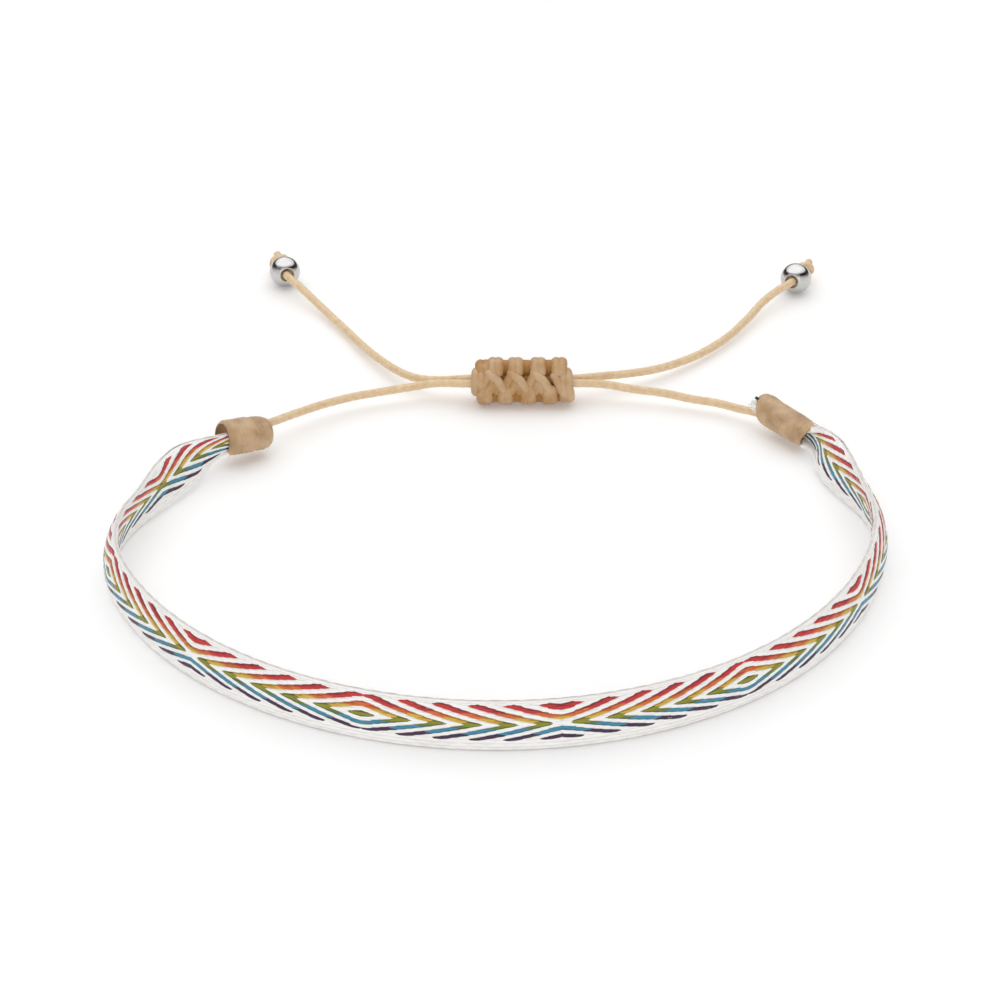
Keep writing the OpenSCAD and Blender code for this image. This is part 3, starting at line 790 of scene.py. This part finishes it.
knotLook = {
    "strand": 0.43, "plyDepth": 0.07, "layLength": 1.9, "coreRows": (-1.1, 0, 1.12), "coreRadius": 0.94,
    # places along the knot, from its middle, of the loops over each edge and of the front arches
    "upperLoops": [-2.56, -0.66, 1.5, 3.5], "lowerLoops": [-3.6, -1.62, 0.56, 2.6, 4.2],
    "arches": [-2.75, -0.6, 1.6], "deepLoop": -3.75, "ends": [-4.42, 4.3],
}


def makeKnot():
    lean = math.radians(knot["lean"])
    centre = np.array(knot["centre"])
    across = np.array([0, math.sin(lean), math.cos(lean)])       # up along the leaning knot
    toFront = np.array([0, -math.cos(lean), math.sin(lean)])     # out of its near face
    ahead = np.array([1.0, 0, 0])
    blocks = []

    def strand(points, radius, shade, step=0.12):
        local = smoothRoute(points, step)
        path = centre + local[:, :1] * ahead + local[:, 1:2] * across + local[:, 2:] * toFront
        tube = strandTube(path, roundedEnds(path, radius), 14, 3, knotLook["plyDepth"], knotLook["layLength"])
        tube["shade"] = shade
        blocks.append(tube)

    r = knotLook["strand"]

    def edgeLoop(x, row, high, shade, deep=1.0):     # two strands side by side over the top or bottom edge
        for dx in (-0.22, 0.22):
            strand([(x + dx * 0.9, row * 0.35, deep * 1.05), (x + dx, row, deep * 1.12),
                    (x + dx * 1.15, row * (high - 0.27), deep * 0.72), (x + dx * 1.2, row * high, 0),
                    (x + dx * 1.15, row * (high - 0.27), -deep * 0.72), (x + dx, row, -deep * 1.12),
                    (x + dx * 0.9, row * 0.35, -deep * 1.05)], r * 1.26, shade + 0.05 * dx)

    for x in knotLook["upperLoops"]:
        edgeLoop(x, 1, 1.78, 0.66 + 0.05 * chance.normal())
    # painted shade: the sunken loop at the left end gets a low shade value
    edgeLoop(knotLook["deepLoop"], 1, 1.55, 0.2, 0.8)
    for x in knotLook["lowerLoops"]:
        edgeLoop(x, -1, 1.74 if x < 4 else 1.55, 0.58 + 0.05 * chance.normal())
    for face in (1, -1):
        for x in knotLook["arches"]:
            shade = 0.8 + 0.04 * chance.normal()
            # the strand crossing down to the right, over the two that bulge beneath it, gets a high shade
            # value as a painted highlight; the two beneath get lower values as painted shade
            strand([(x - 0.75, 0.95, face * 0.95), (x - 0.42, 0.7, face * 1.3), (x - 0.04, 0.42, face * 1.45),
                    (x + 0.38, 0.08, face * 1.5), (x + 0.76, -0.5, face * 1.44), (x + 1.12, -1.25, face)],
                   r, shade)
            strand([(x - 1.2, -1.2, face * 0.9), (x - 1.02, -0.5, face * 1.14), (x - 0.72, 0.12, face * 1.2),
                    (x - 0.4, 0.6, face * 1.1), (x - 0.3, 1, face * 0.8)], r * 1.15, shade - 0.32)
            strand([(x - 0.55, -1.25, face * 0.85), (x - 0.3, -0.62, face * 1.12),
                    (x - 0.05, -0.1, face * 1.18), (x + 0.25, -0.6, face * 1.12),
                    (x + 0.45, -1.25, face * 0.85)], r * 1.2, shade - 0.4)
        for x in knotLook["ends"]:
            end = 1 if x > 0 else -1
            for dx, drop in ((0, 0), (-0.5 * end, 0.05)):
                strand([(x + dx, -1.25, face * 0.6), (x + dx + end * 0.08, -0.7, face * (1.22 - drop)),
                        (x + dx + end * 0.1, -0.05, face * (1.42 - drop)),
                        (x + dx + end * 0.06, 0.55, face * (1.22 - drop)), (x + dx, 1.1, face * 0.6)],
                       r, 0.66 if dx == 0 else 0.56)
        # the last half knot crosses the face beside the right end
        strand([(2.75, 0.75, face), (3.15, 0.3, face * 1.28), (3.5, -0.4, face * 1.3),
                (3.7, -1.2, face * 0.95)], r, 0.58)
    reach = knot["loops"] / 2 * knot["pitch"] - 0.5
    # painted shade: the core, seen only in the gaps between loops, gets a shade value below zero
    for row in knotLook["coreRows"]:     # what the loops are drawn tight on
        strand([(-reach, row, 0), (0, row, 0), (reach, row, 0)], knotLook["coreRadius"], -0.2, 0.5)
    buildMesh("slidingKnotStrands", blocks, knotThread, ["sliding_knot"])


makeKnot()


# steel beads and the knots that stop them

beadLook = {"diameter": 3.1, "bore": 1.2, "lip": 0.14}


def polishedSteelMaterial():
    # stainless steel, turned and barrel polished: near mirror, with a faint haze of fine scratches
    material, tree = startMaterial("polishedStainlessSteel")
    shader = addNode(tree, "BsdfPrincipled", {"Metallic": 1.0, "Roughness": 0.16})
    place = addNode(tree, "TexCoord")
    haze = addNode(tree, "TexNoise", {"Scale": 1500.0, "Detail": 6.0, "Roughness": 0.65},
                   {"Vector": place.outputs["Object"]})
    rough = addNode(tree, "MapRange", {"From Min": 0.3, "From Max": 0.7, "To Min": 0.1,
                    "To Max": 0.26}, {"Value": haze.outputs["Fac"]})
    tone = addNode(tree, "ValToRGB", links={"Fac": haze.outputs["Fac"]})
    tone.color_ramp.elements[0].color = linearColour("#B9B7B4")
    tone.color_ramp.elements[1].color = linearColour("#D8D7D6")
    bump = addNode(tree, "Bump", {"Strength": 0.08, "Distance": 0.00001},
                   {"Height": haze.outputs["Fac"]})
    tree.links.new(rough.outputs["Result"], shader.inputs["Roughness"])
    finishMaterial(tree, shader, tone.outputs["Color"], bump)
    return material


polishedSteel = polishedSteelMaterial()


def makeBead(name, bead, node):
    ahead = heading(bead["heading"], bead["rise"])
    left = heading(bead["heading"] + 90)
    up = np.cross(ahead, left)
    radius, bore, lip = beadLook["diameter"] / 2, beadLook["bore"] / 2, beadLook["lip"]
    # half outline: out over the ball, round the lip and back through the bore
    tip = math.asin((bore + lip) / (radius - lip))
    outline = [(math.cos(a) * radius, math.sin(a) * radius) for a in np.linspace(tip, math.pi - tip, 41)]
    for a in np.linspace(0, math.pi / 2 + tip, 9)[1:]:
        b = math.pi - tip + a
        centre = (-(radius - lip) * math.cos(tip), bore + lip)
        outline.append((centre[0] + math.cos(b) * lip, centre[1] + math.sin(b) * lip))
    outline += [(x, bore) for x in np.linspace(-0.9, 0.9, 7)]
    for a in np.linspace(0, math.pi / 2 + tip, 9)[:-1]:
        b = -math.pi / 2 + a
        centre = ((radius - lip) * math.cos(tip), bore + lip)
        outline.append((centre[0] + math.cos(b) * lip, centre[1] + math.sin(b) * lip))
    outline = np.array(outline + [outline[0]])
    angle = np.arange(64) * 2 * np.pi / 64
    ring = np.cos(angle)[None, :, None] * left + np.sin(angle)[None, :, None] * up
    grid = np.array(bead["centre"]) + outline[:, :1, None] * ahead + outline[:, 1:, None] * ring
    ball = {"points": grid[None], "along": np.arange(len(outline))[None] * 0.1, "across": 9.7, "flip": True}
    return buildMesh(name, [ball], polishedSteel, [node])


stopper = {"ring": 0.5, "swell": 0.24, "strand": 0.36, "length": 1.9, "trim": 0.7, "trimRise": 25}


def makeStopper(name, bead, node):
    ahead = heading(bead["heading"], bead["rise"])
    left = heading(bead["heading"] + 90)
    up = np.cross(ahead, left)
    middle = np.array(bead["centre"]) + ahead * (beadLook["diameter"] / 2 + 0.1 + stopper["length"] / 2)
    blocks = []
    # overhand knot drawn tight: three crossings of the cord's own end
    t = np.linspace(0, 2 * np.pi, 97)
    wide = stopper["ring"] + stopper["swell"] * np.cos(3 * t)
    loop = (middle + ahead * (0.5 * np.sin(3 * t))[:, None] + left * (wide * np.cos(2 * t))[:, None]
            + up * (wide * np.sin(2 * t))[:, None])
    blocks.append(strandTube(loop, stopper["strand"], 14, 3, 0.1, 1.6))
    lead = smoothRoute([middle - ahead * 0.95, middle - ahead * 0.4, middle + ahead * 0.2], 0.15)
    blocks.append(strandTube(lead, roundedEnds(lead, 0.4, 0.3), 14, 3, 0.1, 2.6))
    trimDirection = heading(bead["heading"], bead["rise"] + stopper["trimRise"])
    far = stopper["length"] / 2 + stopper["trim"]
    tail = smoothRoute([middle, middle + trimDirection * far * 0.5, middle + trimDirection * far], 0.12)
    blocks.append(strandTube(tail, roundedEnds(tail, 0.39, 0.3), 14, 3, 0.12, 2.6))
    return buildMesh(name, blocks, waxedCord, [node])


beadPieces, stopperPieces = {}, {}
for side in ("left", "right"):
    beadPieces[side] = makeBead(side + "SteelBead", beads[side], "bead_" + side)
    stopperPieces[side] = makeStopper(side + "StopperKnot", beads[side], "stopper_knot_" + side)


# floor and studio light

studio = {
    "floor": "#F0F0F0", "floorGlow": 0.15,          # the paper is lit from below as well
    "floorReach": 3, "floorDrop": 0.00003,          # metres
    "overheadWatts": 1.5, "overheadSize": (1.5, 1.1), "overheadAt": (-0.12, 0.12, 0.68),
    "overheadAim": (0, 0.05, 0),
    "frontWatts": 1.1, "frontSize": (1.0, 1.0), "frontAt": (0.0, -0.75, 0.38), "frontAim": (0, 0, 0),
    "skyStrength": 1.25, "skyAxis": (0, 0.4, 0.92),
    "skyColours": [(0.0, "#DCDCDC"), (0.2, "#BDBBB9"), (0.32, "#57443A"), (0.43, "#2A2022"), (0.5, "#10162A"),
                   (0.58, "#161D34"), (0.67, "#FFFFFF")],
}
bpy.context.scene.view_settings.view_transform = "Standard"      # white paper stays white


def paperMaterial():
    # matt white paper sweep: no gloss, the faintest tooth
    material, tree = startMaterial("mattPaperSweep")
    shader = addNode(tree, "BsdfPrincipled", {"Roughness": 0.9, "Specular IOR Level": 0.2,
                     "Base Color": linearColour(studio["floor"]), "Emission Color": linearColour("#FFFFFF"),
                     "Emission Strength": studio["floorGlow"]})
    finishMaterial(tree, shader)
    return material


floorMesh = bpy.data.meshes.new("paperSweep")
reach = studio["floorReach"]
floorMesh.from_pydata([(x * reach, y * reach, -studio["floorDrop"])
                       for x, y in ((-1, -1), (1, -1), (1, 1), (-1, 1))], [], [(0, 1, 2, 3)])
floorMesh.materials.append(paperMaterial())
paperSweep = bpy.data.objects.new("paperSweep", floorMesh)
bpy.context.collection.objects.link(paperSweep)


def addSoftbox(name, watts, size, place, aim):
    light = bpy.data.lights.new(name, "AREA")
    light.shape, light.size, light.size_y, light.energy = "RECTANGLE", size[0], size[1], watts
    lamp = bpy.data.objects.new(name, light)
    lamp.location = place
    direction = np.array(aim) - np.array(place)
    lamp.rotation_euler = (math.acos(-direction[2] / np.linalg.norm(direction)), 0,
                           math.atan2(-direction[0], direction[1]))
    bpy.context.collection.objects.link(lamp)


for name, kind in (("overheadSoftbox", "overhead"), ("frontFill", "front")):
    addSoftbox(name, *[studio[kind + word] for word in ("Watts", "Size", "At", "Aim")])

# the room: bright above, with dim walls low down that give the steel its dark bands
world = bpy.data.worlds.new("studioRoom")
bpy.context.scene.world = world
world.use_nodes = True
room = world.node_tree
room.nodes.clear()
look = addNode(room, "TexCoord")
height = addNode(room, "VectorMath", {1: studio["skyAxis"]}, {0: look.outputs["Generated"]},
                 operation="DOT_PRODUCT")      # the overhead light stands a little to the back
walls = addNode(room, "ValToRGB", links={"Fac": height.outputs["Value"]})
while len(walls.color_ramp.elements) < len(studio["skyColours"]):
    walls.color_ramp.elements.new(0.5)
for stop, (position, hexCode) in zip(walls.color_ramp.elements, studio["skyColours"]):
    stop.position, stop.color = position, linearColour(hexCode)
glow = addNode(room, "Background", {"Strength": studio["skyStrength"]},
               {"Color": walls.outputs["Color"]})
addNode(room, "OutputWorld", links={"Surface": glow.outputs["Background"]})
